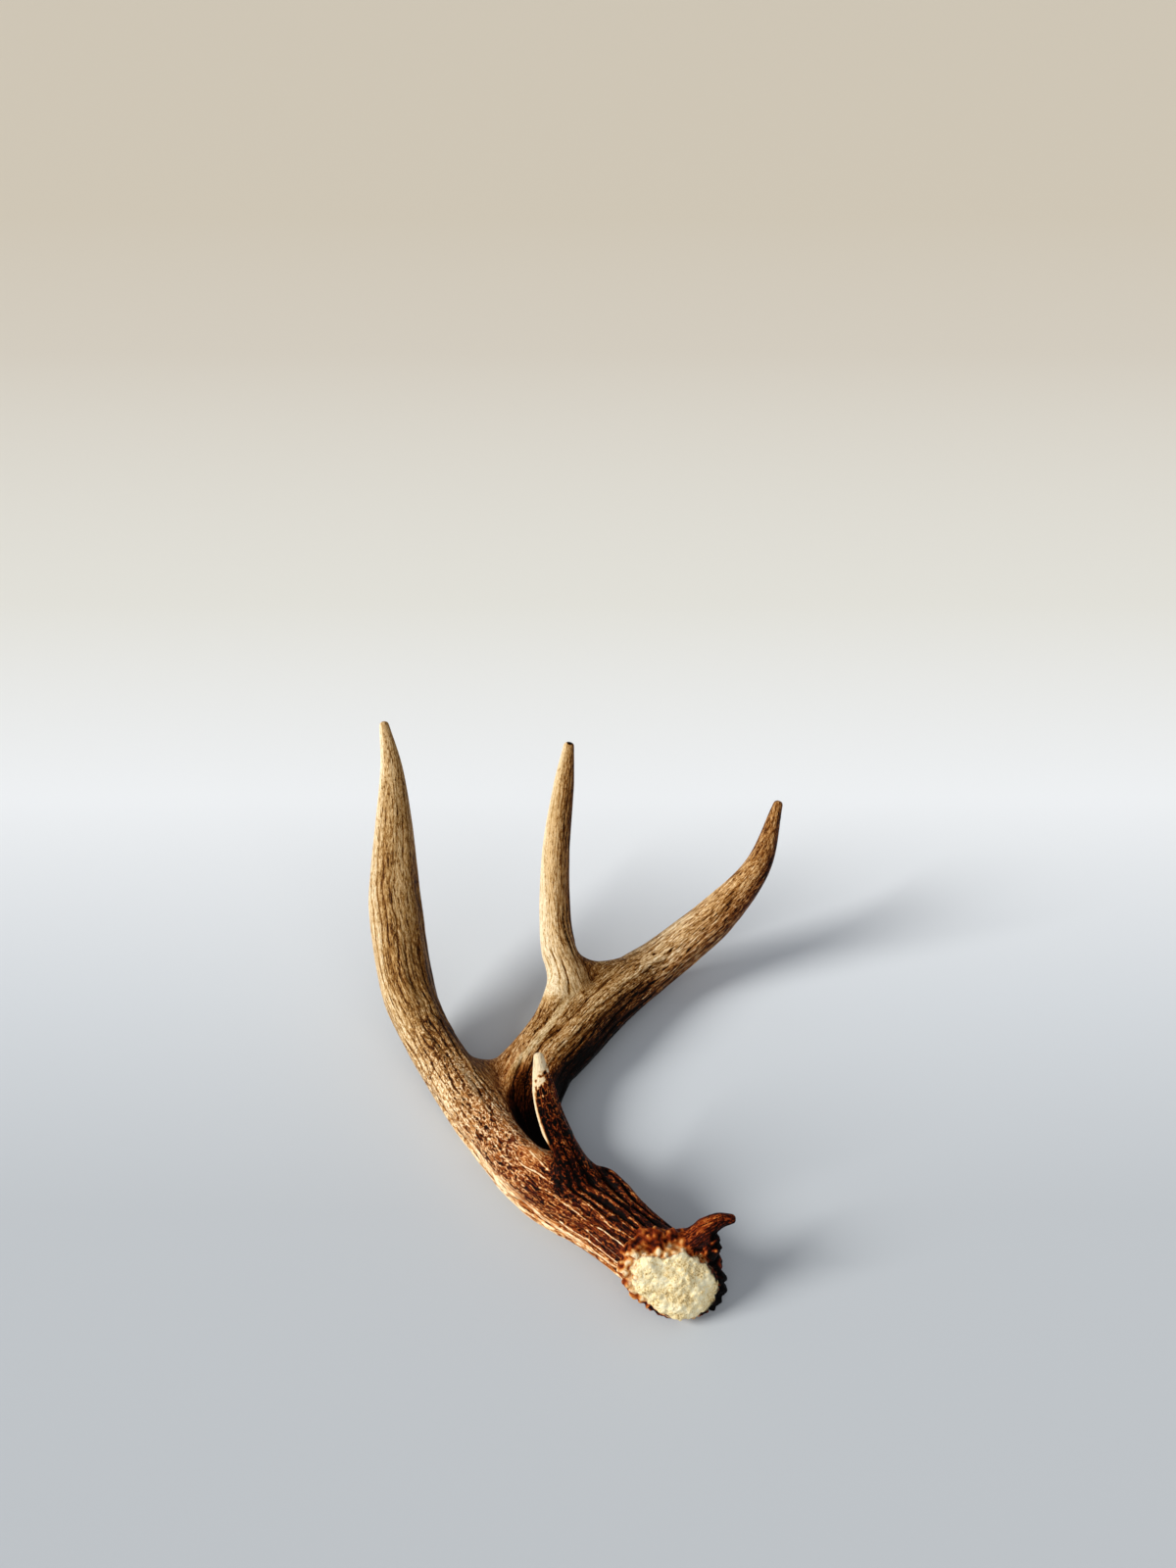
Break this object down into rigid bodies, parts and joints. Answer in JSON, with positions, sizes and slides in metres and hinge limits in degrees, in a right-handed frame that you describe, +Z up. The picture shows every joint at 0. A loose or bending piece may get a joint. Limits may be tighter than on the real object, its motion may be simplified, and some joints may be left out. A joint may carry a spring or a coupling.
{
  "type": "deer antler",
  "caption": "Shed deer antler lying on its side: burr with pearls and domed seal, lower beam, brow tine, long straight tines and a curved beam end.",
  "frame": {"origin": "on the surface the antler lies on, under the middle of its box", "axes": "+Z up; the burr lies towards -Y and +X, the points towards +Y, the second tine on the -X side"},
  "size_m": [0.2489, 0.3036, 0.1441],
  "materials": {
    "base_bone": "dark red-brown grooved antler with cream worn ridge tops, half gloss; the seal is dry cream porous bone",
    "beam_bone": "tan antler with brown grain streaks along the beam, low gloss",
    "tine_bone": "pale tan antler with fine brown streaks along the tine, polished towards an ivory tip"
  },
  "bodies": {
    "root": {"beam_base": "base_bone", "brow_tine": "base_bone", "second_tine": "tine_bone", "beam_middle": "beam_bone", "third_tine": "tine_bone", "beam_end": "beam_bone"}
  },
  "joints": []
}
